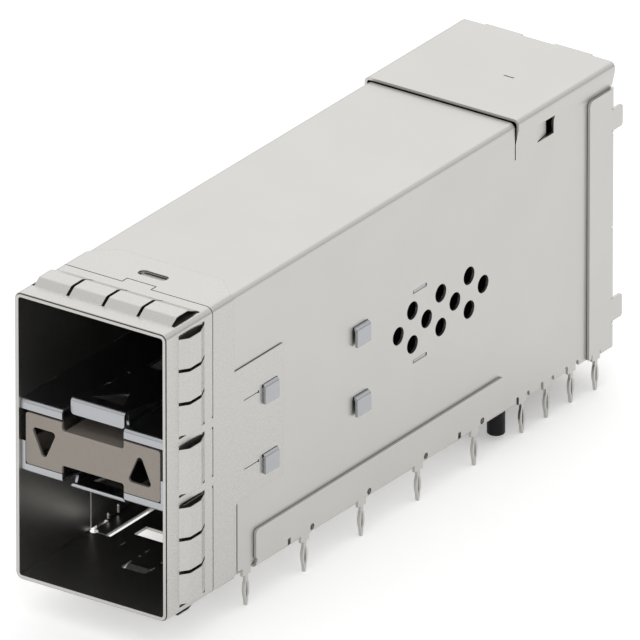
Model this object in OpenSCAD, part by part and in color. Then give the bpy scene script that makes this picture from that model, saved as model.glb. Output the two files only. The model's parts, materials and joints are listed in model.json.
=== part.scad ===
// Two-high press-fit module cage with its receptacle connector.
// Pieces are drawn from the front face (Y = 0) with the board's top face at Z = 0,
// then datum() moves the origin to the midpoint of the two board posts.

/* [Ports] */
// Clear width of a port
port_w = 14; // [13.9:0.05:14.5]
// Clear height of a port
port_h = 9.05; // [8.8:0.05:9.6]
// Height of the middle bay, over the outer faces of the two dividers
bay_h = 6.4; // [6.2:0.1:8]

/* [Shell] */
// Thickness of the folded sheet
sheet_t = 0.25; // [0.2:0.01:0.3]
// Outer radius of the shell's folds
bend_r = 0.5; // [0.4:0.05:0.7]
// Length of the shell's roof, front face to rear edge
cage_len = 62.8; // [60:0.1:66]
// Length of the rear section, where the roof is raised and the walls flare out
rear_len = 13.7; // [13.5:0.1:14.2]
// Height of the cage's underside above the board
standoff = 0.3; // [0.3:0.05:0.6]
// Length of the closed tube at the front
tube_len = 9.85; // [9.6:0.05:10.4]
// How far the rear of the shell steps out
step_out = 0.3; // [0.2:0.02:0.36]
// Width of the slits in the shell
slit_w = 0.14; // [0.1:0.02:0.2]
// Depth of the slit at the step, down from the roof
step_slit_h = 3.25; // [2.9:0.05:4]
// Height over which the side walls flare out to the raised roof
flare_h = 1.4; // [1.2:0.1:1.6]
// Length of the locking tab cut in the roof
roof_tab_w = 2.4; // [2:0.1:3.2]
// Place of the locking tab cut in the roof
roof_tab_y = 8.7; // [7.9:0.05:9]
// Length of the window whose tab locks the connector
lock_len = 2.3; // [1.8:0.1:2.6]
// Height of the window whose tab locks the connector
lock_h = 1.6; // [1.2:0.1:1.8]

/* [Vents] */
// Diameter of a vent hole
vent_d = 1.55; // [1.2:0.05:1.7]
// Spacing of the vents along a row
vent_pitch = 4; // [3.8:0.1:4.2]
// Height between two rows of vents
vent_row = 1.5; // [1.4:0.05:1.6]
// Distance from the middle of the vents back to the step
vent_back = 10.6; // [10.2:0.1:11.2]

/* [Pins] */
// Reach of a press-fit pin below the board's top face
pin_len = 2.7; // [2.2:0.1:3.2]
// Width of a pin's shoulder
pin_root_w = 1.08; // [0.9:0.02:1.2]
// Width of a pin's eye
pin_eye_w = 0.7; // [0.56:0.02:0.8]
// Width of the slot through a pin's eye
pin_slot_w = 0.22; // [0.14:0.02:0.3]
// Width of a pin's neck
pin_stem_w = 0.36; // [0.3:0.02:0.44]
// Distance from the tube back to the shell's front pin
front_pin_gap = 1.4; // [1.2:0.05:1.5]
// Place of the first floor pin
floor_pin_y = 19; // [18.5:0.1:19.5]
// Spacing of the floor pins
floor_pin_pitch = 8; // [7.5:0.1:8.2]
// Distance from the step back to the first of the shell's rear pins
rear_pin_gap = 1.1; // [1.05:0.05:1.3]
// Spacing of the shell's rear pins
rear_pin_pitch = 3.5; // [3.2:0.05:3.55]

/* [Floor] */
// Distance from the tube back to the floor's side flanges
flange_gap_y = 2.35; // [2.2:0.05:3]
// Distance from the end of the floor's side flanges back to the step
flange_stop = 1.9; // [1.7:0.1:2.3]
// Height of the floor's side flanges above the cage's underside
flange_h = 3.33; // [2.8:0.05:4]
// Gap between a side wall and a flange that runs outside it
flange_gap = 0.03; // [0.02:0.01:0.06]
// Width of the level strip between the sunken floor and a side wall
strip_w = 1.4; // [1.1:0.1:1.7]
// Rear end of the sunken part of the floor
pan_end = 24; // [22:1:30]

/* [Rear cover] */
// Length of the cover's side flanges, ahead of the roof's rear edge
cover_wrap = 3.5; // [3.3:0.05:3.8]
// Distance from the cover's pin back to the roof's rear edge
cover_pin_back = 2.5; // [2.3:0.05:2.7]
// Reach of the locking lugs behind the cover
lug_len = 1.05; // [0.5:0.05:1.3]

/* [Collar] */
// Thickness of the spring collar
collar_t = 0.08; // [0.06:0.01:0.12]
// Gap between the collar and the shell
collar_gap = 0.05; // [0.02:0.01:0.08]
// Setback of the collar's front edge from the mouth
collar_set = 0.1; // [0.05:0.05:0.3]
// Place where the collar's plain front band ends
band_len = 1.7; // [1.4:0.1:2]
// Length of a spring finger
finger_len = 3.55; // [3.2:0.05:3.7]
// Height of a finger's crest above the shell
finger_h = 0.68; // [0.5:0.02:0.8]
// Angle of a finger's front ramp
ramp_front = 36; // [34:1:44]
// Angle of a finger's rear ramp
ramp_rear = 24; // [24:1:30]
// Width of the slots between spring fingers
finger_slot = 0.3; // [0.2:0.02:0.4]
// Height of the tall finger in the middle of a side
mid_finger_h = 3.9; // [3.4:0.1:4.1]
// Distance from the mouth to the slit behind the fingers
collar_slit_y = 6.35; // [6:0.05:6.6]
// Distance from the mouth to the rear edge of the collar's side tongues
collar_len = 16.2; // [15.8:0.1:17.5]
// Distance from the mouth to the rear edge of the collar on the roof
collar_roof_len = 11.2; // [10.4:0.1:13]

/* [Dividers] */
// Distance from the divider plates' rear ends back to the step
divider_stop = 2.8; // [2.7:0.1:5]
// Setback of the dividers and the front plate from the mouth
setback = 0.3; // [0.2:0.05:0.5]
// Height of the upper divider's front lip
upper_lip = 0.84; // [0.7:0.02:0.9]
// Height of the lower divider's front lip
lower_lip = 0.78; // [0.7:0.02:0.86]
// Height of the upright horns at the ends of the lower divider's lip
horn_h = 2; // [1:0.1:2.6]
// Half width of the notch around a latch tongue
notch_x = 3; // [2.8:0.05:3.2]
// Width of a latch tongue
tongue_w = 5.2; // [4.6:0.05:5.3]
// Place where a latch tongue bends away from its plate
tongue_root = 6.7; // [6.3:0.1:7]
// Rise of the upper latch tongue into its port
upper_rise = 0.98; // [0.7:0.02:1.2]
// Rise of the lower latch tongue into its port
lower_rise = 0.58; // [0.4:0.02:0.8]
// Middle of the first pair of folded side tabs
tab_y = 14.3; // [13.8:0.1:15]
// Spacing of the folded side tabs
tab_pitch = 12.85; // [12:0.05:13.5]
// Width of a folded side tab
tab_w = 1.9; // [1.6:0.05:2.4]
// Height of a folded side tab
tab_h = 1.7; // [1.4:0.05:2]

/* [Front plate] */
// Gap between the front plate's ends and the side walls
plate_side = 0.48; // [0.46:0.02:0.8]
// Gap between the front plate and the upper divider's lip
plate_gap = 0.2; // [0.1:0.01:0.26]
// Gap between the front plate and the lower divider's lip
plate_seat = 0.06; // [0.04:0.01:0.2]
// Side of a direction triangle
arrow_w = 2.14; // [1.6:0.02:2.3]
// Height of a direction triangle
arrow_h = 2.5; // [2:0.05:2.6]

/* [Connector] */
// Spacing of the board posts
post_pitch = 12; // [11.6:0.1:12]
// Radius of a board post
post_r = 0.75; // [0.6:0.05:0.8]
// Length of a board post
post_len = 2.22; // [1.6:0.02:2.6]
// Distance from the board posts back to the step
post_back = 0.9; // [0.7:0.1:1.1]
// Length of the receptacle noses, ahead of the housing's front face
nose_len = 4.8; // [4:0.1:6]
// Height of a receptacle nose
nose_h = 6.2; // [5.6:0.1:6.6]
// Opening of the card slot
slot_h = 1.2; // [1.1:0.05:1.4]
// Width of the card slot
slot_w = 9.2; // [8.8:0.1:9.8]
// Spacing of the contact wafers
wafer_pitch = 0.8; // [0.78:0.01:0.82]
// Thickness of a wafer
wafer_t = 0.7; // [0.6:0.01:0.76]
// Thickness of a contact
contact_t = 0.25; // [0.2:0.01:0.3]
// Height of a contact strip
contact_w = 0.4; // [0.3:0.02:0.5]

/* [Hidden] */
$fn = 48;

steel = [0.78, 0.77, 0.75];
far = 200;                      // reach of a cut that runs right through
fit = 0.03;                     // slip clearance between formed parts
fold_r = bend_r - 0.1;          // outer radius of the folds outside the shell
slot_end = 0.12;                // play at the ends of a slot round the lug or tab in it

// Levels, from the board up
floor_top = standoff + sheet_t;
lower_face = floor_top + port_h;            // underside of the lower divider
upper_face = lower_face + bay_h;            // top of the upper divider
inner_top = upper_face + port_h;
roof_top = inner_top + sheet_t;
mid_z = (lower_face + upper_face) / 2;
wall_foot = standoff + fold_r;              // lower edge of the side walls, over the floor's fold
raised_top = inner_top + step_out;          // underside of the raised roof
flare_top = roof_top - bend_r;              // where the flared walls are upright again
flare_z = flare_top - flare_h;              // where they start to flare
cover_top = flare_z - 0.07;                 // upper edge of the cover's side flanges

// Widths, from the middle out
inner_x = port_w / 2;
outer_x = inner_x + sheet_t;
flange_x = outer_x + flange_gap;            // inner face of an outside flange
flange_out = flange_x + sheet_t;
pan_x = inner_x - strip_w;                  // half width of the sunken floor
pan_slit = 0.25;                            // lanced slit beside the sunken floor

// Places along the cage that follow its front tube or its rear step
step_y = cage_len - rear_len;
front_pin_y = tube_len + front_pin_gap;
rear_pin_y = step_y + rear_pin_gap;
cover_pin_y = cage_len - cover_pin_back;
flange_y = tube_len + flange_gap_y;
flange_end = step_y - flange_stop;
floor_pins = floor((flange_end - floor_pin_y - 2) / floor_pin_pitch) + 1;
vent_y = step_y - vent_back;
divider_end = step_y - divider_stop;
post_y = step_y - post_back;
cover_y = cage_len - cover_wrap;
cover_back = cage_len + 0.13;               // outer face of the cover
panel_y = cover_back - sheet_t;             // inner face of the cover
wall_end = cover_back - fold_r;             // rear edge of the side walls, where the cover's folds start
lock_y = step_y + 3.1;                      // front of the window that locks the connector
lock_z = roof_top - 2.9;
roof_slit_y = step_y + 6.45;

// Reliefs beside the rear pins
notch_top = floor_top + 0.25;
notch_w = 0.46;

// Spring collar
collar_out = collar_gap + collar_t;         // outer face of the collar, off the shell
collar_x = outer_x + collar_out;
collar_end = tube_len - 0.45;               // rear edge of the collar away from its tongues
tongue_z = 5.8;                             // half height of the collar's side tongues
finger_y1 = band_len + finger_len;
finger_r = 0.42;                            // inner radius of a finger's bends
corner_x = inner_x - 0.35;                  // outer edge of the last finger on the roof
top_finger_w = (2 * corner_x - 3 * finger_slot) / 4;
rung = [mid_finger_h / 2 + finger_slot / 2, mid_finger_h / 2 + finger_slot / 2 + 0.95];
group_high = inner_top - mid_z - 0.48;      // middle of the outermost slot on a side
side_pitch = (group_high - rung[1]) / 3;

// Dividers: small side lugs that sit in slots, flush with the wall, each as its place and width
lugs = [[2.6, 2.4], [vent_y - 3.8, 1.7]];
lip_bend = 0.35;
tab_x = collar_x + fit;                     // inner face of a folded tab, clear of the collar
tab_out = tab_x + sheet_t;

// Front plate
plate_x = inner_x - plate_side;
plate_low = lower_face + lower_lip + plate_seat;
plate_high = upper_face - upper_lip - plate_gap;
plate_notch = 0.73;

// Card slots sit off each port's middle, towards the outer walls
slot_shift = 0.9;
upper_slot_z = upper_face + port_h / 2 + slot_shift;
lower_slot_z = lower_face - port_h / 2 - slot_shift;

// Connector block
housing_x = inner_x - 0.15;
housing_y = divider_end + 0.3;
nose_y = housing_y - nose_len;
housing_end = wall_end - 0.35;
housing_top = inner_top - 0.4;
heel_x = 5;                                 // the housing's sides stand clear of the pins out here
heel_z = 1.3;
wafers = 10;
wafer_y = housing_y + 3.3;
wafer_end = housing_end - 0.2;
wafer_top = upper_slot_z + 2.4;
wafer_foot = 0.6;
cavity_x = wafers * wafer_pitch / 2 + 0.05;
row_gap = 0.85;                             // contact row to the card slot's middle
tail_len = 2.1;
tail_eye_w = 0.5;

// ---- Frame and plain shapes ----

module datum() {
    translate([0, -post_y, 0]) children();
}

module both_sides() {
    children();
    mirror([1, 0, 0]) children();
}

// Outline in X and Z, drawn out along Y
module along_y(y0, y1) {
    translate([0, y1, 0]) rotate([90, 0, 0]) linear_extrude(y1 - y0) children();
}

// Outline in Y and Z, drawn out along X
module along_x(x0, x1) {
    translate([x0, 0, 0]) rotate([90, 0, 90]) linear_extrude(x1 - x0) children();
}

// Box between two corners
module box(low, high) {
    translate(low) cube(high - low);
}

// Rectangle with round corners between two corners
module round_rect(low, high, r) {
    size = high - low;
    translate(low + [r, 0]) square([size[0] - 2 * r, size[1]]);
    translate(low + [0, r]) square([size[0], size[1] - 2 * r]);
    for (a = [r, size[0] - r], b = [r, size[1] - r]) {
        translate(low + [a, b]) circle(r);
    }
}

// Convex outline with round corners, from the corners' centres listed anticlockwise
module round_poly(centres, r) {
    n = len(centres);
    polygon([for (i = [0:n - 1], end = [0, 1])
        let (a = centres[i], b = centres[(i + 1) % n], way = (b - a) / norm(b - a))
            (end == 0 ? a : b) + r * [way[1], -way[0]]]);
    for (c = centres) {
        translate(c) circle(r);
    }
}

// Pointed oval between two arcs, upright about its middle
module lens(width, height) {
    r = (height * height + width * width) / (4 * width);
    intersection() {
        translate([r - width / 2, 0]) circle(r, $fn = 96);
        translate([width / 2 - r, 0]) circle(r, $fn = 96);
    }
}

// Section of a sheet folded round a box: outer corners, thickness and outer radius
module folded_ring(low, high, t, r) {
    difference() {
        round_rect(low, high, r);
        round_rect(low + [t, t], high - [t, t], r - t);
    }
}

// Points of an arc, angles in degrees
function arc(centre, r, a0, a1, steps = 6) =
    [for (i = [0:steps]) centre + r * [cos(a0 + (a1 - a0) * i / steps),
                                       sin(a0 + (a1 - a0) * i / steps)]];

// ---- Press-fit pins ----

eye_top = 0.1;                              // the eye starts this far below the board's top face
pin_tip = 0.3;                              // and ends this far above the pin's tip
tip_w = 0.18;

// Outline of a pin in Y and Z: shoulder, neck, eye and narrow tip, about the board's top face
module pin_outline(root_top) {
    eye_h = pin_len - pin_tip - eye_top;
    translate([-pin_root_w / 2, 0]) square([pin_root_w, root_top]);
    translate([-pin_stem_w / 2, -eye_h / 2]) square([pin_stem_w, eye_h / 2 + 0.1]);
    translate([0, -eye_top - eye_h / 2]) lens(pin_eye_w, eye_h);
    polygon([[-tip_w, -pin_len + 2 * pin_tip], [-tip_w / 2, -pin_len],
        [tip_w / 2, -pin_len], [tip_w, -pin_len + 2 * pin_tip]]);
}

// A pin with its slotted eye, in the sheet between two widths
module pin(y, x0, x1, root_top) {
    eye_h = pin_len - pin_tip - eye_top;
    translate([0, y, 0]) difference() {
        along_x(x0, x1) pin_outline(root_top);
        translate([0, 0, -eye_top - eye_h / 2]) along_x(x0 - 1, x1 + 1) lens(pin_slot_w, eye_h * 0.7);
    }
}

// ---- Shell ----

// Section of the roof and side walls down to a foot
module arch_section(foot) {
    intersection() {
        folded_ring([-outer_x, -roof_top], [outer_x, roof_top], sheet_t, bend_r);
        translate([-far / 2, foot]) square([far, far]);
    }
}

// Section of the rear, where the roof is raised and the walls flare out to meet it
module raised_section(foot) {
    intersection() {
        folded_ring([-outer_x - step_out, -roof_top], [outer_x + step_out, roof_top + step_out],
            sheet_t, bend_r);
        translate([-far / 2, flare_top]) square([far, far]);
    }
    both_sides() polygon([[inner_x, foot], [outer_x, foot], [outer_x, flare_z],
        [outer_x + step_out, flare_top], [inner_x + step_out, flare_top], [inner_x, flare_z]]);
}

module cage_shell() {
    low_wall = flange_end + slit_w;         // the walls reach down further behind the floor's flanges
    color(steel) datum() {
        difference() {
            union() {
                along_y(0, tube_len)
                    folded_ring([-outer_x, standoff], [outer_x, roof_top], sheet_t, bend_r);
                along_y(tube_len, low_wall) arch_section(wall_foot);
                along_y(low_wall, step_y) arch_section(standoff);
                along_y(step_y, cage_len) raised_section(standoff);
                roof_hooks();
            }
            step_slit();
            wall_slits();
            vents();
            tab_slots();
            lug_slots();
            roof_tab_cut(0);
            tube_floor_cuts();
            wall_end_cut();
            for (i = [0:2]) {
                pin_relief(rear_pin_y + i * rear_pin_pitch);
            }
            both_sides() locking_window();
            box([1.6, roof_slit_y, inner_top], [2.6, roof_slit_y + slit_w, far]);
        }
        both_sides() {
            locking_tab();
            wall_dimples();
            pin(front_pin_y, inner_x, outer_x, wall_foot + 0.2);
            for (i = [0:2]) {
                pin(rear_pin_y + i * rear_pin_pitch, inner_x, outer_x, notch_top + 0.2);
            }
        }
        roof_tab();
        tube_flap_nose();
    }
}

// Tongues of the roof that rest on the cover's top edge
module roof_hooks() {
    for (x = [-3.4, 3.4]) {
        box([x - 1.8, cage_len - 0.5, raised_top], [x + 1.8, cover_back + 0.1, raised_top + sheet_t]);
    }
}

// Slit over the roof and part way down the walls, just ahead of the step
module step_slit() {
    box([-far, step_y - slit_w, roof_top - step_slit_h], [far, step_y, far]);
}

// Upright slits that free the side walls from the tube, with a relief hole at the foot
module wall_slits() {
    both_sides() {
        box([inner_x - 0.1, tube_len - 0.02, 0], [far, tube_len + slit_w - 0.02, floor_top + 6.2]);
        corner_relief(floor_top + 0.1);
    }
}

// Relief hole in the corner between the tube, the wall and the floor
module corner_relief(top) {
    translate([inner_x - 0.25, tube_len + 0.1, 0]) cylinder(h = top, r = 0.36);
}

module vents() {
    for (row = [-1:1], i = [0:3]) {
        shift = row == 0 ? -1.5 : -1;
        if (row == 0 || i < 3) {
            translate([-far / 2, vent_y + (i + shift) * vent_pitch, mid_z + row * vent_row])
                rotate([0, 90, 0]) cylinder(h = far, d = vent_d);
        }
    }
}

// Slots that the dividers' folded tabs pass through, and a slit ahead of the first of each row
module tab_slots() {
    half = tab_w / 2 + slot_end;
    for (z = [upper_face - sheet_t, lower_face], i = [0:1]) {
        y = tab_y + i * tab_pitch;
        box([-far, y - half, z - fit], [far, y + half, z + sheet_t + fit]);
    }
    for (z = [upper_face - 0.42, lower_face - 0.1]) {
        box([-far, tab_y - half - 2.5, z], [far, tab_y - half - 0.5, z + slit_w / 2]);
        translate([-far / 2, tab_y - half - 0.5, z + slit_w / 4]) rotate([0, 90, 0])
            cylinder(h = far, r = 0.12);
    }
}

// Slots for the dividers' small side lugs
module lug_slots() {
    for (z = [upper_face - sheet_t, lower_face], lug = lugs) {
        box([-far, lug[0] - slot_end, z - fit], [far, lug[0] + lug[1] + slot_end, z + sheet_t + fit]);
    }
}

// Opening round the roof's locking tab; the collar's is wider by a margin
module roof_tab_cut(margin) {
    half = [roof_tab_w / 2 + slot_end + margin, 0.42 + margin];
    translate([0, roof_tab_y, inner_top - 1]) linear_extrude(3) round_rect(-half, half, 0.4);
}

// The tab itself, whose rear edge is pressed down a little
module roof_tab() {
    y = roof_tab_y - 0.45;
    sink = 0.1;
    along_x(-roof_tab_w / 2, roof_tab_w / 2) polygon([[y - 0.1, roof_top - 0.02],
        [y + 0.75, roof_top - sink], [y + 0.75, inner_top - sink], [y - 0.1, inner_top]]);
}

// Tube floor: a spring flap is freed by a front pocket, side slots, small holes and rear slits
flap_x = 1.2;
flap_y = tube_len - 4.1;
pocket_len = 0.95;
tongue_slit_x = 3.45;                       // slits at the outer edges of the tube floor's rear tongues

module tube_floor_cuts() {
    cut_w = 0.13;
    translate([0, 0, -1]) linear_extrude(floor_top + 1.1) {
        round_rect([-flap_x, flap_y], [flap_x, flap_y + pocket_len], 0.25);
        both_sides() {
            translate([flap_x - cut_w, flap_y + 0.3]) square([cut_w, 1.1]);
            translate([flap_x - cut_w, flap_y + 2.5]) circle(0.1);
            for (x = [flap_x - cut_w, tongue_slit_x]) {
                translate([x, tube_len - 0.75]) square([cut_w, 1]);
            }
        }
    }
}

// The flap's front edge curls down into the pocket
module tube_flap_nose() {
    root = flap_y + pocket_len;
    sink = 0.4;
    along_x(0.13 - flap_x, flap_x - 0.13) polygon([[root + 0.1, floor_top], [root, floor_top],
        [root - 0.7, floor_top - sink], [root - 0.7, standoff - sink], [root + 0.1, standoff]]);
}

// Dimples pressed inward at the foot of a side wall, just behind the tube
module wall_dimples() {
    r = 0.2;
    for (i = [0, 1]) {
        translate([inner_x + fit, tube_len + 2.5 + 1.4 * i, wall_foot]) {
            cylinder(h = 0.35 + 0.25 * i, r = r);
            translate([0, 0, 0.35 + 0.25 * i]) sphere(r);
        }
    }
}

// The side walls stop short of the cover's folds
module wall_end_cut() {
    both_sides() box([inner_x - 1, wall_end, -1], [far, far, cover_top + 0.2]);
}

// Round-topped notches beside the shoulder of a rear pin
module pin_relief(y) {
    for (side = [-1, 1]) {
        edge = y + side * (pin_root_w + notch_w) / 2;
        box([-far, edge - notch_w / 2, -1], [far, edge + notch_w / 2, notch_top - notch_w / 2]);
        translate([-far / 2, edge, notch_top - notch_w / 2]) rotate([0, 90, 0])
            cylinder(h = far, d = notch_w);
    }
}

// Window in a side wall, and the tab lanced inward from its front edge
module locking_window() {
    box([inner_x - 1, lock_y, lock_z], [far, lock_y + lock_len, lock_z + lock_h]);
}

module locking_tab() {
    dip = 0.32;
    tab_end = lock_y + lock_len - 0.65;
    translate([0, 0, lock_z + slit_w / 2]) linear_extrude(lock_h - slit_w)
        polygon([[inner_x, lock_y - 0.1], [outer_x, lock_y - 0.1], [outer_x - dip, tab_end],
            [inner_x - dip, tab_end]]);
}

// ---- Floor ----

module floor_plate() {
    pan_front = tube_len + 0.1;
    color(steel) datum() {
        difference() {
            union() {
                flanged_floor();
                along_y(pan_front, flange_y)
                    translate([-inner_x + 0.1, standoff]) square([2 * inner_x - 0.2, sheet_t]);
                box([-pan_x - sheet_t, pan_front, standoff - sheet_t],
                    [pan_x + sheet_t, pan_end + sheet_t, standoff]);
                pan_tongues();
            }
            box([-pan_x, tube_len - 1, standoff], [pan_x, pan_end, floor_top + 1]);
            box([-inner_x + 0.05, divider_end + 0.1, -1], [inner_x - 0.05, far, floor_top + 1]);
            box([-4.1, tube_len + 1.9, -1], [4.1, tube_len + 3.6, floor_top + 1]);
            both_sides() {
                box([pan_x - pan_slit, tube_len - 1, -1], [pan_x + 1, pan_end - 3, standoff]);
                corner_relief(1);
                flange_corners();
                floor_reliefs();
            }
        }
        both_sides() for (i = [0:floor_pins - 1]) {
            pin(floor_pin_y + i * floor_pin_pitch, flange_x, flange_out, floor_top + 0.6);
        }
    }
}

// Tongues of the sunken floor that reach forward under the tube's floor
module pan_tongues() {
    both_sides() box([flap_x, collar_end + 0.1, standoff - sheet_t],
        [tongue_slit_x, tube_len + 0.2, standoff]);
}

// Flat floor with a flange folded up outside each side wall
module flanged_floor() {
    along_y(flange_y, flange_end) intersection() {
        folded_ring([-flange_out, standoff], [flange_out, roof_top + flange_h], sheet_t, fold_r);
        translate([-far / 2, 0]) square([far, standoff + flange_h]);
    }
}

// Rounds off the two upper corners of a flange, and a small hole ends its front edge
module flange_corners() {
    r = 0.4;
    top = standoff + flange_h;
    for (end = [[flange_y, 1], [flange_end, -1]]) {
        along_x(flange_x - 0.05, flange_out + 1) difference() {
            translate([end[0] - (1 - end[1]) / 2 * r, top - r]) square([r, r + 1]);
            translate([end[0] + end[1] * r, top - r]) circle(r);
        }
    }
    along_x(flange_x - 0.05, far) translate([flange_y, wall_foot + 0.25]) circle(0.18);
}

// Cuts in a flange round its pins: one for each shoulder with a hole behind it, and two slots
module floor_reliefs() {
    side = pin_root_w / 2;
    for (i = [0:floor_pins - 1]) {
        y = floor_pin_y + i * floor_pin_pitch;
        box([inner_x - 0.05, y - side - 0.1, -1], [far, y + side + 0.1, standoff + 0.2]);
        along_x(inner_x, far) translate([y + side + 0.49, floor_top + 0.32]) circle(0.28);
    }
    for (i = [0, floor_pins - 1]) {
        y = floor_pin_y + i * floor_pin_pitch - 2.2;
        box([inner_x, y - 0.2, standoff + 0.22], [far, y + 0.2, standoff + 0.82]);
    }
}

// ---- Rear cover ----

// Height ranges of the straight lugs that stand out behind the cover
cover_lugs = [[floor_top + 2.03, floor_top + 4.03], [cover_top - 3.75, cover_top - 1.85]];

module rear_cover() {
    color(steel) datum() {
        difference() {
            union() {
                translate([0, 0, standoff]) linear_extrude(cover_top - standoff) intersection() {
                    folded_ring([-flange_out, 0], [flange_out, cover_back], sheet_t, fold_r);
                    translate([-far / 2, cover_y]) square([far, far]);
                }
                box([-inner_x + 0.05, panel_y, cover_top - 1],
                    [inner_x - 0.05, cover_back, raised_top - fit]);
            }
            both_sides() {
                for (z = cover_lugs) {
                    box([inner_x - 0.1, wall_end - 0.1, z[0] - 0.1], [far, far, z[1] + 0.1]);
                }
                for (z = [cover_lugs[0][0] - 0.3, mid_z - 1.9, cover_lugs[1][0] - 0.3]) {
                    box([flange_out - 0.5, cover_back - 0.5, z - 0.1], [far, far, z + 0.15]);
                }
                cover_corner();
                box([inner_x - 1, cover_pin_y - pin_root_w / 2 - 0.1, -1],
                    [far, cover_pin_y + pin_root_w / 2 + 0.1, standoff + 0.3]);
            }
        }
        both_sides() {
            for (z = cover_lugs) {
                along_x(flange_x, flange_out)
                    round_rect([wall_end - 0.6, z[0]], [cover_back + lug_len, z[1]], 0.25);
            }
            pin(cover_pin_y, flange_x, flange_out, standoff + 0.6);
        }
    }
}

// Rounds off the upper front corner of a cover flange
module cover_corner() {
    r = 0.5;
    along_x(flange_x - 0.05, flange_out + 1) difference() {
        translate([cover_y - 1, cover_top - r]) square([r + 1, r + 1]);
        translate([cover_y + r, cover_top - r]) circle(r);
    }
}

// ---- Spring collar ----

// Side view of a finger in Y and its height off the shell: front ramp, flat crest, rear ramp
module finger_section() {
    r = finger_r + collar_t;
    crest = finger_h - r;                   // height of the crest's bend centres
    foot = crest + r;                       // how far the ramps are drawn on below them
    front = band_len + r * sin(ramp_front) + (crest + r * cos(ramp_front) - collar_out) / tan(ramp_front);
    rear = finger_y1 - r * sin(ramp_rear) - (crest + r * cos(ramp_rear) - collar_out) / tan(ramp_rear);
    bends = [[rear, crest], [front, crest], [front - foot / tan(ramp_front), crest - foot],
        [rear + foot / tan(ramp_rear), crest - foot]];
    intersection() {
        difference() {
            round_poly(bends, r);
            round_poly(bends, finger_r);
        }
        translate([0, collar_gap]) square([finger_y1 + 1, far]);
    }
}

module front_collar() {
    low = [-collar_x, standoff - collar_out];
    high = [collar_x, roof_top + collar_out];
    color([0.8, 0.79, 0.77]) datum() {
        difference() {
            along_y(collar_set, collar_len) folded_ring(low, high, collar_t, bend_r + collar_out);
            finger_windows();
            collar_outline();
            collar_slit();
            roof_tab_cut(0.05);
            tab_slots();
            box([-flap_x - 0.1, flap_y - 0.2, -1], [flap_x + 0.1, far, floor_top]);
        }
        for (i = [0:3]) {
            x = -corner_x + i * (top_finger_w + finger_slot);
            translate([0, 0, roof_top]) along_x(x, x + top_finger_w) finger_section();
            translate([0, 0, standoff]) mirror([0, 0, 1]) along_x(x, x + top_finger_w) finger_section();
        }
        both_sides() translate([0, 0, mid_z]) {
            side_finger(-mid_finger_h / 2, mid_finger_h / 2);
            for (i = [0:2], way = [0, 1]) {
                z = rung[1] + i * side_pitch + finger_slot / 2;
                mirror([0, 0, way]) side_finger(z, z + side_pitch - finger_slot);
            }
        }
    }
}

// One finger on a side wall, between two heights
module side_finger(z0, z1) {
    translate([outer_x, 0, z0]) linear_extrude(z1 - z0) mirror([1, -1, 0]) finger_section();
}

// Openings that the fingers are cut from: above and below, and three on each side
module finger_windows() {
    half = finger_slot / 2;
    box([-corner_x - finger_slot, band_len, -1], [corner_x + finger_slot, finger_y1, far]);
    translate([0, 0, mid_z]) {
        box([-far, band_len, -rung[0] - half], [far, finger_y1, rung[0] + half]);
        for (way = [0, 1]) {
            mirror([0, 0, way])
                box([-far, band_len, rung[1] - half], [far, finger_y1, group_high + half]);
        }
    }
}

// Rear edge of the collar: a long tongue at mid height on each side, a shorter one on the roof
module collar_outline() {
    roof_x = inner_x - 2;
    both_sides() box([inner_x - 1, collar_end, mid_z + tongue_z], [far, far, flare_top + 0.1]);
    box([-far, collar_end, -1], [far, far, mid_z - tongue_z]);
    translate([0, 0, flare_top]) linear_extrude(far) difference() {
        translate([-far / 2, collar_end]) square([far, far]);
        polygon([[-inner_x, collar_end - 1], [inner_x, collar_end - 1], [inner_x, collar_end],
            [roof_x, collar_roof_len], [-roof_x, collar_roof_len], [-inner_x, collar_end]]);
    }
}

// Slit behind the fingers, right round the cage: it stops at the rungs beside the tall fingers,
// and steps back behind a short neck in the middle of the roof
module collar_slit() {
    w = 0.1;
    neck_x = 1.35;
    neck_len = 0.7;
    slit = [collar_slit_y, collar_slit_y + w];
    difference() {
        box([-far, slit[0], -far], [far, slit[1], far]);
        box([-neck_x, slit[0] - 1, mid_z], [neck_x, slit[1] + 1, far]);
        translate([0, 0, mid_z]) for (way = [0, 1]) {
            mirror([0, 0, way]) box([-far, slit[0] - 1, rung[0]], [far, slit[1] + 1, rung[1]]);
        }
    }
    box([-neck_x, slit[0] + neck_len, roof_top], [neck_x, slit[1] + neck_len, far]);
    both_sides() box([neck_x, slit[0], roof_top], [neck_x + w, slit[1] + neck_len, far]);
    translate([0, 0, mid_z]) for (way = [0, 1], z = rung) {
        mirror([0, 0, way]) translate([-far / 2, slit[0], z]) rotate([0, 90, 0])
            cylinder(h = far, r = w);
    }
}

// ---- Dividers ----

tongue_front = setback + 0.65;
tongue_slit = tongue_root + 2.3;            // the slits beside a tongue run on to here

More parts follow.
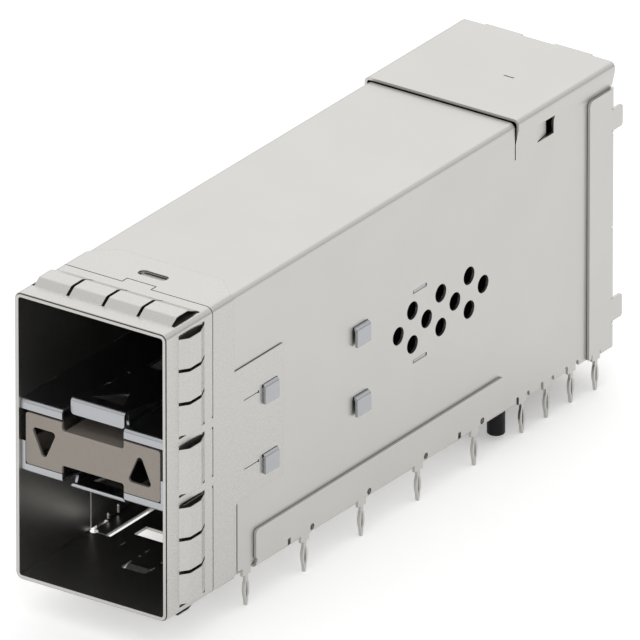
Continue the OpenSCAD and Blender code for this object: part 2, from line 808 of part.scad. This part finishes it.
// A divider drawn for the upper port: plate, front lip, latch tongue, side lugs and tabs.
// Its top face is at z = 0 here; lip is the lip's height, rise how far the tongue lifts,
// and the tabs fold down, or up if fold is -1.
module divider_body(lip, rise, tongue_lip, fold) {
    difference() {
        union() {
            along_x(-inner_x + fit, inner_x - fit) intersection() {
                folded_ring([setback, -far], [far, 0], sheet_t, lip_bend);
                translate([0, -lip]) square([divider_end, lip]);
            }
            both_sides() {
                for (i = [0:1]) {
                    side_tab(tab_y + i * tab_pitch, fold);
                }
                for (lug = lugs) {
                    box([0, lug[0], -sheet_t], [outer_x - fit, lug[0] + lug[1], 0]);
                }
            }
        }
        box([-notch_x, -1, -far], [notch_x, tongue_root, far]);
        both_sides() {
            box([tongue_w / 2, tongue_root - 0.1, -far], [tongue_w / 2 + 0.14, tongue_slit, far]);
            translate([tongue_w / 2 + 0.07, tongue_slit, -1]) cylinder(h = 2, r = 0.2);
        }
        box([-2.2, 10.9, -far], [2.2, 16, far]);
    }
    difference() {
        union() {
            along_x(-tongue_w / 2, tongue_w / 2) tongue_section(rise, tongue_lip);
            both_sides() tongue_cheek(rise);
        }
        translate([0, 0, -far / 2]) linear_extrude(far)
            polygon([[-1.5, tongue_front + 1.5], [1.5, tongue_front + 1.5], [0, tongue_front + 4.45]]);
        along_y(-1, tongue_front + sheet_t) lip_corners(rise - tongue_lip);
    }
}

// Side view of a tongue: it climbs from the plate to the front, and its lip turns back down
module tongue_section(rise, lip) {
    front = tongue_front;
    r = lip_bend;
    slope = atan(rise / (tongue_root - front - r));
    crest = rise - r;
    polygon(concat(
        [[tongue_root + 0.4, 0]],
        arc([front + r, crest], r, 90 - slope, 180),
        [[front, rise - lip], [front + sheet_t, rise - lip]],
        arc([front + r, crest], r - sheet_t, 180, 90 - slope),
        [[tongue_root, -sheet_t], [tongue_root + 0.4, -sheet_t]]));
}

// Stiffening cheek folded down along a tongue's side
module tongue_cheek(rise) {
    low = -sheet_t - 0.09;
    front = tongue_front + 0.55;
    along_x(tongue_w / 2 - sheet_t, tongue_w / 2) polygon([[front, rise - 0.25], [front + 0.15, low],
        [tongue_root - 1.2, low], [tongue_root - 0.4, -0.1]]);
}

// Squares that leave a tongue lip's lower corners round
module lip_corners(low) {
    r = 0.3;
    both_sides() difference() {
        translate([tongue_w / 2 - r, low - 1]) square([r + 1, r + 1]);
        translate([tongue_w / 2 - r, low + r]) circle(r);
    }
}

// A tab that leaves through the side wall and folds over outside it
module side_tab(y, fold) {
    translate([0, 0, fold < 0 ? -sheet_t : 0]) mirror([0, 0, fold < 0 ? 1 : 0])
        along_y(y - tab_w / 2, y + tab_w / 2) intersection() {
            folded_ring([-tab_out, -far], [tab_out, 0], sheet_t, lip_bend);
            translate([inner_x - 1, -tab_h]) square([far, tab_h]);
        }
}

module upper_divider() {
    color([0.74, 0.75, 0.76]) datum() translate([0, 0, upper_face])
        divider_body(upper_lip, upper_rise, 1.4, 1);
}

// The lower divider is the same part turned over, with a horn up beside each end of the front plate
module lower_divider() {
    horn_w = 0.4;
    color([0.74, 0.75, 0.76]) datum() translate([0, 0, lower_face]) {
        mirror([0, 0, 1]) divider_body(lower_lip, lower_rise, 0.47, -1);
        both_sides() along_y(setback, setback + sheet_t)
            translate([inner_x - fit - horn_w, lower_lip - 0.1]) square([horn_w, horn_h + 0.1]);
    }
}

// ---- Front plate ----

module front_plate() {
    r = 0.25;
    color([0.54, 0.52, 0.49]) datum() {
        difference() {
            along_y(setback, setback + sheet_t)
                round_rect([-plate_x, plate_low], [plate_x, plate_high], r);
            along_y(-1, 5) {
                round_rect([-notch_x, plate_high - plate_notch], [notch_x, plate_high + 2], r);
                round_rect([-notch_x, plate_low - 2], [notch_x, plate_low + plate_notch], r);
                translate([-plate_x + 1.77, mid_z - 0.23]) arrow(-1);
                translate([plate_x - 1.97, mid_z - 0.05]) arrow(1);
            }
        }
        plate_ledge();
        both_sides() box([plate_x - sheet_t, setback, plate_low + 0.3],
            [plate_x, setback + 6, plate_low + 1.9]);
    }
}

// Triangle that points up (1) or down (-1), with round corners
module arrow(way) {
    r = 0.3;
    half = arrow_w / 2 - r;
    foot = arrow_h / 2 - r;
    mirror([0, way > 0 ? 0 : 1, 0])
        round_poly([[-half, -foot], [half, -foot], [0, arrow_h / 2 - 1.4 * r]], r);
}

// Ledge folded back from the upper notch, which rises to seat under the upper divider
module plate_ledge() {
    top = plate_high - plate_notch;
    back = tongue_root + 2;
    half = notch_x - 0.27;
    box([-half, setback + 0.05, top - sheet_t], [half, back, top]);
    box([-half, back - sheet_t, top - sheet_t], [half, back, upper_face - sheet_t]);
}

// ---- Connector ----

function wafer_x(i) = (i - (wafers - 1) / 2) * wafer_pitch;
// Contact rows from the top down, each with the place of its upright leg
rows = [upper_slot_z + row_gap, upper_slot_z - row_gap, lower_slot_z + row_gap, lower_slot_z - row_gap];
function leg_y(row) = wafer_end - 1.3 - row * 2.2;

module connector_housing() {
    slots = [upper_slot_z, lower_slot_z];
    nose_x = housing_x - 0.5;
    color([0.1, 0.1, 0.1]) datum() {
        difference() {
            union() {
                box([-housing_x, housing_y, 0.1], [housing_x, housing_end, housing_top]);
                for (z = slots) {
                    box([-nose_x, nose_y, z - nose_h / 2], [nose_x, housing_y + 1, z + nose_h / 2]);
                }
            }
            box([-cavity_x, wafer_y - 0.1, -1], [cavity_x, far, wafer_top + 0.1]);
            for (z = slots) {
                card_slot(z);
            }
            both_sides() {
                box([inner_x - 0.7, lock_y - 0.4, lock_z - 0.2],
                    [far, lock_y + lock_len + 0.3, lock_z + lock_h + 0.2]);
                box([heel_x, step_y + 0.1, -1], [far, far, heel_z]);
            }
        }
        for (side = [-1, 1]) {
            translate([side * post_pitch / 2, post_y, 0]) board_post();
        }
    }
}

// Card slot with its flared mouth, and the grooves that the contacts lie in
module card_slot(z) {
    flare = 0.4;
    groove = row_gap + contact_w / 2 + 0.05;
    box([-slot_w / 2, nose_y - 1, z - slot_h / 2], [slot_w / 2, housing_y - 0.3, z + slot_h / 2]);
    along_x(-slot_w / 2, slot_w / 2) polygon([[nose_y - 0.1, z - slot_h / 2 - flare],
        [nose_y + flare, z - slot_h / 2], [nose_y + flare, z + slot_h / 2],
        [nose_y - 0.1, z + slot_h / 2 + flare]]);
    for (i = [0:wafers - 1]) {
        x = wafer_x(i);
        box([x - contact_t / 2 - fit, nose_y + 0.5, z - groove],
            [x + contact_t / 2 + fit, wafer_y, z + groove]);
    }
}

// Post that locates the connector on the board
module board_post() {
    edge = 0.08;                            // small chamfer round the tip
    translate([0, 0, edge - post_len]) cylinder(h = post_len + 0.1, r = post_r);
    translate([0, 0, -post_len]) cylinder(h = edge, r1 = post_r - edge, r2 = post_r);
}

// One wafer: a plate whose face has an open groove for each of its contacts
module wafer(i) {
    color([0.16, 0.16, 0.17]) datum() translate([wafer_x(i), 0, 0]) difference() {
        box([-wafer_t / 2, wafer_y, wafer_foot], [wafer_t / 2, wafer_end, wafer_top]);
        for (row = [0:3]) {
            along_x(-contact_t / 2, wafer_t) contact_path(row);
        }
        along_x(-1, 1) polygon([[wafer_end - 1.2, wafer_top + 1], [wafer_end + 1, wafer_top + 1],
            [wafer_end + 1, wafer_top - 1.2]]);
    }
}

// Side view of a contact: beam in the slot, run to the back, leg down to the board
module contact_path(row) {
    z = rows[row];
    y = leg_y(row);
    half = contact_w / 2;
    translate([wafer_y - 0.6, z - half]) square([y + half - wafer_y + 0.6, contact_w]);
    translate([y - half, 0]) square([contact_w, z + half]);
}

// One contact of wafer i: rows 0 to 3 run from the top down
module contact(row, i) {
    color([0.8, 0.66, 0.35]) datum() translate([wafer_x(i), 0, 0])
        along_x(-contact_t / 2, contact_t / 2) {
            contact_path(row);
            contact_beam(row);
            translate([leg_y(row), 0]) tail_outline();
        }
}

// Spring beam that runs out to a rounded touch point just inside the card slot
module contact_beam(row) {
    z = rows[row];
    way = row % 2 == 0 ? -1 : 1;
    beam = 0.24;
    outer = z - way * (contact_w / 2 - beam / 2);
    translate([nose_y + 0.8, outer - beam / 2]) square([wafer_y - nose_y - 0.9, beam]);
    translate([nose_y + 1.6, z]) intersection() {
        translate([0, -way * 0.5]) circle(0.84, $fn = 32);
        translate([-0.7, way > 0 ? -0.2 : -0.36]) square([1.4, 0.56]);
    }
}

// Press-fit tail of a contact
module tail_outline() {
    translate([-0.1, -tail_len]) square([0.2, tail_len + 0.1]);
    translate([0, -tail_len / 2]) lens(tail_eye_w, tail_len - 0.1);
}

cage_shell();
floor_plate();
rear_cover();
front_collar();
upper_divider();
lower_divider();
front_plate();
connector_housing();
wafer(0);  // wafer_01
wafer(1);  // wafer_02
wafer(2);  // wafer_03
wafer(3);  // wafer_04
wafer(4);  // wafer_05
wafer(5);  // wafer_06
wafer(6);  // wafer_07
wafer(7);  // wafer_08
wafer(8);  // wafer_09
wafer(9);  // wafer_10
contact(0, 0);  // contact_a01
contact(0, 1);  // contact_a02
contact(0, 2);  // contact_a03
contact(0, 3);  // contact_a04
contact(0, 4);  // contact_a05
contact(0, 5);  // contact_a06
contact(0, 6);  // contact_a07
contact(0, 7);  // contact_a08
contact(0, 8);  // contact_a09
contact(0, 9);  // contact_a10
contact(1, 0);  // contact_b01
contact(1, 1);  // contact_b02
contact(1, 2);  // contact_b03
contact(1, 3);  // contact_b04
contact(1, 4);  // contact_b05
contact(1, 5);  // contact_b06
contact(1, 6);  // contact_b07
contact(1, 7);  // contact_b08
contact(1, 8);  // contact_b09
contact(1, 9);  // contact_b10
contact(2, 0);  // contact_c01
contact(2, 1);  // contact_c02
contact(2, 2);  // contact_c03
contact(2, 3);  // contact_c04
contact(2, 4);  // contact_c05
contact(2, 5);  // contact_c06
contact(2, 6);  // contact_c07
contact(2, 7);  // contact_c08
contact(2, 8);  // contact_c09
contact(2, 9);  // contact_c10
contact(3, 0);  // contact_d01
contact(3, 1);  // contact_d02
contact(3, 2);  // contact_d03
contact(3, 3);  // contact_d04
contact(3, 4);  // contact_d05
contact(3, 5);  // contact_d06
contact(3, 6);  // contact_d07
contact(3, 7);  // contact_d08
contact(3, 8);  // contact_d09
contact(3, 9);  // contact_d10
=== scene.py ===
# %% [markdown]
# # A two-high module cage in plated sheet metal
# The cage is a box of folded steel that is pressed into a circuit board. Two modules slide into
# its mouth, one above the other. Every piece is rigid and comes from the CAD model, which loads as
# a fixed frame, so this lesson is about finishes and light.

# %% Load the frame
import json
import math
import bmesh
import bpy
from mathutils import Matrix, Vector


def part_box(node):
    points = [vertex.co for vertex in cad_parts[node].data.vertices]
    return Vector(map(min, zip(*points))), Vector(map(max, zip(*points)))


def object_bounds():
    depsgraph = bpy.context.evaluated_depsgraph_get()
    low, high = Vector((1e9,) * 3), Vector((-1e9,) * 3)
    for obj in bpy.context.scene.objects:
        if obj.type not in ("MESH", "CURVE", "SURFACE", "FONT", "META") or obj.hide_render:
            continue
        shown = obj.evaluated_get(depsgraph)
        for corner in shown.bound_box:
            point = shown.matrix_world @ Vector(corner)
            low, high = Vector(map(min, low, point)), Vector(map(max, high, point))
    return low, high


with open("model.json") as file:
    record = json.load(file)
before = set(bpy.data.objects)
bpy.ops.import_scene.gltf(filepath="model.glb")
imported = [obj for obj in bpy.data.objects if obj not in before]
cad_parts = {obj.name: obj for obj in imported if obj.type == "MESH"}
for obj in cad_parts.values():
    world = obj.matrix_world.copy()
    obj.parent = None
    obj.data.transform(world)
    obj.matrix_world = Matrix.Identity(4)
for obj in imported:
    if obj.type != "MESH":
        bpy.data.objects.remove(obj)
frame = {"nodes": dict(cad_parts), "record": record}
cad_box = [list(corner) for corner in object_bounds()]
MM = 0.001


def in_mm(box):
    """A box in metres as rounded millimetres, for printing."""
    return [[round(v / MM, 2) for v in corner] for corner in box]


print("CAD box in mm:", in_mm(cad_box))

# %% [markdown]
# ## Colours and nodes
# Blender's shaders work in linear light, while colours are usually written as sRGB hex values.
# One function turns the one into the other. A second adds a node to a material with its settings
# and its links in one call, which keeps each finish readable from top to bottom.

# %% Colour and node helpers
def linear(hex_colour):
    values = [int(hex_colour[i:i + 2], 16) / 255 for i in (1, 3, 5)]
    return [v / 12.92 if v <= 0.04045 else ((v + 0.055) / 1.055) ** 2.4 for v in values] + [1.0]


def darker(colour, share):
    return [c * share for c in colour[:3]] + [1.0]


def add(tree, kind, settings=None, links=None):
    """Adds a node; settings are attributes or input values, links join inputs to sockets."""
    made = tree.nodes.new(kind)
    for key, value in (settings or {}).items():
        if isinstance(key, str) and hasattr(made, key):
            setattr(made, key, value)
        else:
            made.inputs[key].default_value = value
    for key, socket in (links or {}).items():
        tree.links.new(socket, made.inputs[key])
    return made


WHITE = linear("#ffffff")
print("white is", WHITE)

# %% [markdown]
# ## How a finish starts and ends
# Each finish starts as an empty material and ends in the same four nodes. Stamped and moulded
# edges are never quite sharp. Rounding them in the mesh would cost many faces on so many thin
# sheets, so the Bevel node rounds them for the light only, by 0.05 mm, and each edge catches a
# thin bright or dark line. The grain goes over that as a bump, and the shader takes both.

# %% Finish helpers
EDGE_MM, EDGE_SAMPLES = 0.05, 6


def empty_finish(name):
    """Returns a new empty material and its tree."""
    material = bpy.data.materials.new(name)
    material.use_nodes = True
    material.node_tree.nodes.clear()
    return material, material.node_tree


def surface(tree, colour, roughness, height, bump, depth_mm, metallic, specular=0.5):
    """Ends a finish: a bump over softened edges, then the shader."""
    soft = add(tree, "ShaderNodeBevel", {"samples": EDGE_SAMPLES, "Radius": EDGE_MM * MM})
    lift = add(tree, "ShaderNodeBump", {"Strength": bump, "Distance": depth_mm * MM},
               {"Height": height, "Normal": soft.outputs["Normal"]})
    shader = add(tree, "ShaderNodeBsdfPrincipled",
                 {"Metallic": metallic, "Specular IOR Level": specular},
                 {"Base Color": colour, "Roughness": roughness, "Normal": lift.outputs["Normal"]})
    add(tree, "ShaderNodeOutputMaterial", links={"Surface": shader.outputs["BSDF"]})


print("edges look rounded by", EDGE_MM, "mm")

# %% [markdown]
# ## Rolled and plated sheet
# The shell, floor and rear cover are cold-rolled steel with a bright plate, and the dividers are a
# smoother strip. Rolling leaves very fine lines along the strip, and the plate smooths them into a
# soft, even sheen. A metal takes its look from what it reflects, so the colour stays nearly flat
# and the grain goes into roughness and a very small bump. The lines are drawn 0.12 mm apart,
# coarser than the real ones, so that they still show. Handling leaves the plate a little duller in
# broad patches about 7 mm across, which a second, larger noise gives.

# %% Rolled sheet finish
LINE_GAP_MM, LINE_LENGTH_MM, PATCH_MM = 0.12, 9, 7
PATCH_SHADE, LINE_DEPTH_MM = 0.95, 0.02
GRAIN_TOP = 0.5  # two noises multiplied seldom come above a half


def rolled_sheet(name, colour, roughness, bump, spread):
    """Plated strip; its roughness goes up and down by spread."""
    material, tree = empty_finish(name)
    place = add(tree, "ShaderNodeTexCoord").outputs["Object"]
    across, along = 1 / (LINE_GAP_MM * MM), 1 / (LINE_LENGTH_MM * MM)
    lined = add(tree, "ShaderNodeMapping", {"Scale": (across, along, across)}, {"Vector": place})
    lines = add(tree, "ShaderNodeTexNoise", {"Scale": 1.0, "Detail": 2.0},
                {"Vector": lined.outputs["Vector"]}).outputs["Fac"]
    patches = add(tree, "ShaderNodeTexNoise", {"Scale": 1 / (PATCH_MM * MM), "Detail": 4.0},
                  {"Vector": place}).outputs["Fac"]
    tint = add(tree, "ShaderNodeMixRGB", {"Color1": colour, "Color2": darker(colour, PATCH_SHADE)},
               {"Fac": patches})
    grain = add(tree, "ShaderNodeMath", {"operation": "MULTIPLY"}, {0: lines, 1: patches})
    rough = add(tree, "ShaderNodeMapRange",
                {"From Max": GRAIN_TOP, "To Min": roughness - spread, "To Max": roughness + spread},
                {"Value": grain.outputs["Value"]})
    surface(tree, tint.outputs["Color"], rough.outputs["Result"], lines, bump, LINE_DEPTH_MM,
            metallic=1.0)
    return material


# Bright tin plate over cold-rolled steel: pale, slightly warm, with soft broad reflections
plated_steel = rolled_sheet("tin_plated_steel", linear("#c3c2be"), roughness=0.34, bump=0.006,
                            spread=0.015)
# Nickel plate on the latch sheet: a little bluer and smoother, so its bends catch crisp lines.
# Its darker, bluish tone is partly the nickel's own and partly painted shade: it stands in for the
# dim, bluish reflections on the latch lips
latch_sheet_and_painted_shade = rolled_sheet("nickel_latch_sheet_and_painted_shade", linear("#acaeb1"), roughness=0.24,
                           bump=0.003, spread=0.01)
print("rolled sheets:", plated_steel.name, latch_sheet_and_painted_shade.name)

# %% [markdown]
# ## Spring strip
# The collar is thin copper alloy strip under a satin plate. Its fingers are stamped and curved,
# and the plate on them has a fine mottled grain, like frost. The mottle is drawn 0.16 mm across:
# real grains are finer, but would blur to one flat tone. The colour, the roughness and a small
# bump share the same grains, so a dull grain is also a dark one.

# %% Spring strip finish
MOTTLE_SHADE, MOTTLE_SPREAD, MOTTLE_DEPTH_MM = 0.86, 0.08, 0.01


def mottled_strip(name, colour, roughness, grain_mm, bump):
    material, tree = empty_finish(name)
    place = add(tree, "ShaderNodeTexCoord").outputs["Object"]
    grains = add(tree, "ShaderNodeTexNoise",
                 {"Scale": 1 / (grain_mm * MM), "Detail": 2.0, "Roughness": 0.6},
                 {"Vector": place}).outputs["Fac"]
    tint = add(tree, "ShaderNodeMixRGB",
               {"Color1": colour, "Color2": darker(colour, MOTTLE_SHADE)}, {"Fac": grains})
    rough = add(tree, "ShaderNodeMapRange",
                {"To Min": roughness - MOTTLE_SPREAD, "To Max": roughness + MOTTLE_SPREAD},
                {"Value": grains})
    surface(tree, tint.outputs["Color"], rough.outputs["Result"], grains, bump, MOTTLE_DEPTH_MM,
            metallic=1.0)
    return material


spring_strip = mottled_strip("satin_plated_spring_strip", linear("#c5c4c0"), roughness=0.29,
                             grain_mm=0.16, bump=0.15)
print("spring strip:", spring_strip.name)

# %% [markdown]
# ## Beige plate, moulded resins and gold
# The plate between the ports has a satin, warm grey finish. The connector is black glass-filled
# resin straight from the mould, which has a fine, slightly glossy grain. Its contacts are
# gold-plated, which is a metal with a warm colour and a low roughness. One even grain suits them
# all, and only its size and strength change.

# %% Plain finishes
PLAIN_SHADE, PLAIN_SPREAD, PLAIN_DEPTH_MM = 0.9, 0.05, 0.02


def grained(name, colour, roughness, metallic, grain_mm, bump, specular=0.5):
    material, tree = empty_finish(name)
    place = add(tree, "ShaderNodeTexCoord").outputs["Object"]
    grain = add(tree, "ShaderNodeTexNoise", {"Scale": 1 / (grain_mm * MM), "Detail": 3.0},
                {"Vector": place}).outputs["Fac"]
    tint = add(tree, "ShaderNodeMixRGB", {"Color1": colour, "Color2": darker(colour, PLAIN_SHADE)},
               {"Fac": grain})
    rough = add(tree, "ShaderNodeMapRange",
                {"To Min": roughness - PLAIN_SPREAD, "To Max": roughness + PLAIN_SPREAD},
                {"Value": grain})
    surface(tree, tint.outputs["Color"], rough.outputs["Result"], grain, bump, PLAIN_DEPTH_MM,
            metallic, specular)
    return material


# Satin lacquer on steel: warm grey, half way between paint and metal
beige_satin = grained("warm_grey_satin_plate", linear("#948c84"), roughness=0.42, metallic=0.35,
                      grain_mm=0.3, bump=0.1)
# Glass-filled resin: black with a faint sheen on its skin
black_resin = grained("moulded_black_resin", linear("#0d0d0d"), roughness=0.45, metallic=0.0,
                      grain_mm=0.12, bump=0.2, specular=0.2)
# The wafers' resin is filled too, a shade lighter and duller
wafer_resin = grained("moulded_wafer_resin", linear("#242426"), roughness=0.5, metallic=0.0,
                      grain_mm=0.12, bump=0.2)
# Gold over nickel on the contacts: warm and smooth
gold_plate = grained("gold_plated_copper_alloy", linear("#d9b36a"), roughness=0.22, metallic=1.0,
                     grain_mm=0.2, bump=0.05)
print("plain finishes:", beige_satin.name, black_resin.name, wafer_resin.name, gold_plate.name)

# %% [markdown]
# ## Dress the pieces
# The CAD model names a finish slot for each of its pieces, so one table from slot to finish
# dresses them all. Their meshes stay as they are.

# %% Give each CAD node its finish
FINISH = {"plated_steel": plated_steel, "spring_band": spring_strip, "latch_plate": latch_sheet_and_painted_shade,
          "beige_plate": beige_satin, "black_resin": black_resin, "wafer_resin": wafer_resin,
          "contact_metal": gold_plate}
slot_of = {part["node"]: part["material_slot"] for part in frame["record"]["subparts"]}
for name, piece in frame["nodes"].items():
    for material_slot in piece.material_slots:
        material_slot.material = FINISH[slot_of[name]]
print("finished", len(frame["nodes"]), "nodes")

# %% [markdown]
# ## Camera
# The view is from the front, the right and above, through a very long lens from far away, so
# that parallel edges stay parallel. The frame is about 51 mm wide where the camera looks.

# %% Camera
AZIMUTH, ELEVATION = math.radians(34.78), math.radians(25.215)
LENS, SENSOR, VIEW_WIDTH = 1700.0, 36.0, 51.28 * MM
AIM_RIGHT, AIM_BEHIND_MOUTH, AIM_HEIGHT = 1.74 * MM, 29.43 * MM, 13.95 * MM
mouth_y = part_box("cage_shell")[0].y
look_at = Vector((AIM_RIGHT, mouth_y + AIM_BEHIND_MOUTH, AIM_HEIGHT))
away = Vector((math.sin(AZIMUTH) * math.cos(ELEVATION), -math.cos(AZIMUTH) * math.cos(ELEVATION),
               math.sin(ELEVATION)))
camera_data = bpy.data.cameras.new("camera")
camera_data.lens, camera_data.sensor_width = LENS, SENSOR
camera_data.clip_start, camera_data.clip_end = 0.1, 20
camera = bpy.data.objects.new("camera", camera_data)
camera.location = look_at + away * (VIEW_WIDTH * LENS / SENSOR)
camera.rotation_euler = (-away).to_track_quat("-Z", "Y").to_euler()
bpy.context.scene.collection.objects.link(camera)
bpy.context.scene.camera = camera
bpy.context.scene.view_settings.view_transform = "Standard"
print("camera distance in m:", round((camera.location - look_at).length, 2))

# %% [markdown]
# ## Sky
# Camera and mirror rays see the sky as white, while the light that reaches the object stays at a
# plain level. A studio has a dim gap between its floor and its ceiling lights. Mirror rays see
# such a gap low in the sky, and it draws the thin dark line that shows a fold in bright sheet.

# %% Sky
SKY_FILL = 0.82
GAP_TOP, GAP_LEVEL = 0.35, 0.4
world = bpy.data.worlds.new("studio")
bpy.context.scene.world = world
world.use_nodes = True
sky = world.node_tree
sky.nodes.clear()


def seen_directly(tree):
    """1 for camera, mirror and see-through rays, else 0."""
    path = add(tree, "ShaderNodeLightPath").outputs
    most = add(tree, "ShaderNodeMath", {"operation": "MAXIMUM"},
               {0: path["Is Camera Ray"], 1: path["Is Glossy Ray"]}).outputs["Value"]
    return add(tree, "ShaderNodeMath", {"operation": "MAXIMUM"},
               {0: most, 1: path["Is Transmission Ray"]}).outputs["Value"]


level = add(sky, "ShaderNodeMapRange", {"To Min": SKY_FILL, "To Max": 1.0},
            {"Value": seen_directly(sky)})
direction = add(sky, "ShaderNodeTexCoord").outputs["Generated"]
height = add(sky, "ShaderNodeSeparateXYZ", links={"Vector": direction}).outputs["Z"]
rise = add(sky, "ShaderNodeMapRange",
           {"From Min": 0.0, "From Max": GAP_TOP, "To Min": GAP_LEVEL, "To Max": 1.0},
           {"Value": height})
mirrored = add(sky, "ShaderNodeLightPath").outputs["Is Glossy Ray"]
gap = add(sky, "ShaderNodeMix", {"data_type": "FLOAT", 2: 1.0},
          {0: mirrored, 3: rise.outputs["Result"]})
shade = add(sky, "ShaderNodeMath", {"operation": "MULTIPLY"},
            {0: level.outputs["Result"], 1: gap.outputs[0]})
glow = add(sky, "ShaderNodeBackground", {"Color": WHITE}, {"Strength": shade.outputs["Value"]})
add(sky, "ShaderNodeOutputWorld", links={"Surface": glow.outputs["Background"]})
print("sky fill", SKY_FILL, "and gap level", GAP_LEVEL)

# %% [markdown]
# ## Floor
# The cage stands on its pin tips on a pale matte floor, which keeps the cage's soft shadow. A
# faint glow that only camera and mirror rays see lifts the floor to white, and lights nothing.

# %% Floor
FLOOR_LIFT = 0.33
FLOOR_HALF_WIDTH = 3.0  # metres, so that its edge stays out of sight
floor_height = cad_box[0][2]
floor_mesh = bpy.data.meshes.new("floor")
shape = bmesh.new()
bmesh.ops.create_grid(shape, x_segments=1, y_segments=1, size=FLOOR_HALF_WIDTH)
bmesh.ops.translate(shape, verts=shape.verts, vec=(0, 0, floor_height))
shape.to_mesh(floor_mesh)
shape.free()
floor = bpy.data.objects.new("floor", floor_mesh)
bpy.context.scene.collection.objects.link(floor)
floor_paint, paint = empty_finish("pale_studio_floor")
matte = add(paint, "ShaderNodeBsdfDiffuse", {"Color": linear("#f2f2f2")})
lift = add(paint, "ShaderNodeMath", {"operation": "MULTIPLY", 1: FLOOR_LIFT},
           {0: seen_directly(paint)})
shine = add(paint, "ShaderNodeEmission", {"Color": WHITE}, {"Strength": lift.outputs["Value"]})
both = add(paint, "ShaderNodeAddShader",
           links={0: matte.outputs["BSDF"], 1: shine.outputs["Emission"]})
add(paint, "ShaderNodeOutputMaterial", links={"Surface": both.outputs["Shader"]})
floor_mesh.materials.append(floor_paint)
print("floor at", round(floor_height / MM, 2), "mm")

# %% [markdown]
# ## Lamps
# Bright sheet shows its lamps as reflections, so the lamps are large soft panels: each fold then
# carries one broad, even tone, and no lamp shows as a spot. One panel stands behind on the left,
# one hangs overhead, and one stands in front on the right.

# %% Lamps
def panel(name, direction, distance, size, radiance):
    """A square soft panel that faces the cage; radiance is how bright its face looks."""
    data = bpy.data.lights.new(name, "AREA")
    data.shape, data.size = "SQUARE", size
    data.energy = radiance * math.pi * size * size
    lamp = bpy.data.objects.new(name, data)
    way = Vector(direction).normalized()
    lamp.location = look_at + way * distance
    lamp.rotation_euler = way.to_track_quat("Z", "Y").to_euler()
    bpy.context.scene.collection.objects.link(lamp)


panel("back_left_panel", (-0.516, 0.744, 0.6), distance=1.2, size=1.4, radiance=0.36)
panel("overhead_panel", (0.1, -0.3, 1.0), distance=1.2, size=0.9, radiance=0.35)
panel("front_right_panel", (0.5, -1.0, 0.3), distance=1.3, size=1.1, radiance=0.35)
